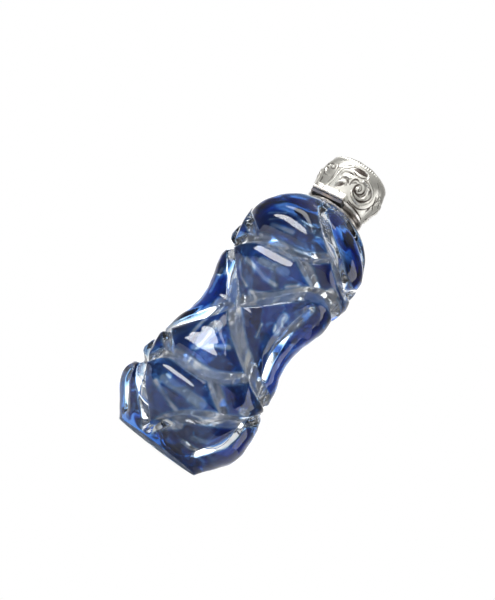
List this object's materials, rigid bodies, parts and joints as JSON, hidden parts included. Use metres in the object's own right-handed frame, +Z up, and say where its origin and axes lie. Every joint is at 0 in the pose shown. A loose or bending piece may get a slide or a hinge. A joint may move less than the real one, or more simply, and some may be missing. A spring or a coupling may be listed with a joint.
{
  "type": "scent bottle",
  "caption": "Waisted cut-glass scent bottle, blue casing over clear glass, with a ground stopper, a silver collar and a domed silver lid that swings open on a hinge.",
  "frame": {"origin": "centre of the flat base", "axes": "+Z up along the bottle's axis; the lid's hinge is on the -Y side with its pin along X, and the thumb lip is at +Y"},
  "size_m": [0.047, 0.047, 0.1181],
  "materials": {
    "clear_glass": "polished clear lead glass",
    "blue_glass": "polished cobalt blue glass",
    "stopper_glass": "clear glass with a ground plug",
    "plaster": "matt plaster",
    "silver_smooth": "worn polished silver",
    "silver_embossed": "embossed silver with tarnish in the hollows",
    "pin_metal": "drawn wire"
  },
  "bodies": {
    "bottle": {"glass_body": "clear_glass", "blue_casing": "blue_glass", "neck_cement": "plaster", "collar_bezel": "silver_smooth", "collar_foot_bead": "silver_smooth", "collar_band": "silver_smooth", "collar_hinge_plate": "silver_smooth", "collar_knuckle_left": "silver_smooth", "collar_knuckle_right": "silver_smooth", "hinge_pin": "pin_metal"},
    "lid": {"lid_shell": "silver_embossed", "lid_rim_wire": "silver_smooth", "lid_thumb_lip": "silver_smooth", "lid_hinge_plate": "silver_smooth", "lid_knuckle": "silver_smooth"},
    "stopper": {"glass_stopper": "stopper_glass"}
  },
  "joints": [
    {"name": "lid_hinge", "type": "hinge", "parent": "bottle", "child": "lid", "pos_m": [0, -0.0115, 0.09935], "axis": [1, 0, 0], "range_deg": [0, 110]},
    {"name": "stopper_lift", "type": "slide", "parent": "bottle", "child": "stopper", "axis": [0, 0, 1], "range_m": [0, 0.012]}
  ],
  "couplings": [
    {"joint": "stopper_lift", "follows": "lid_hinge", "m_per_rad": 0.00625}
  ]
}
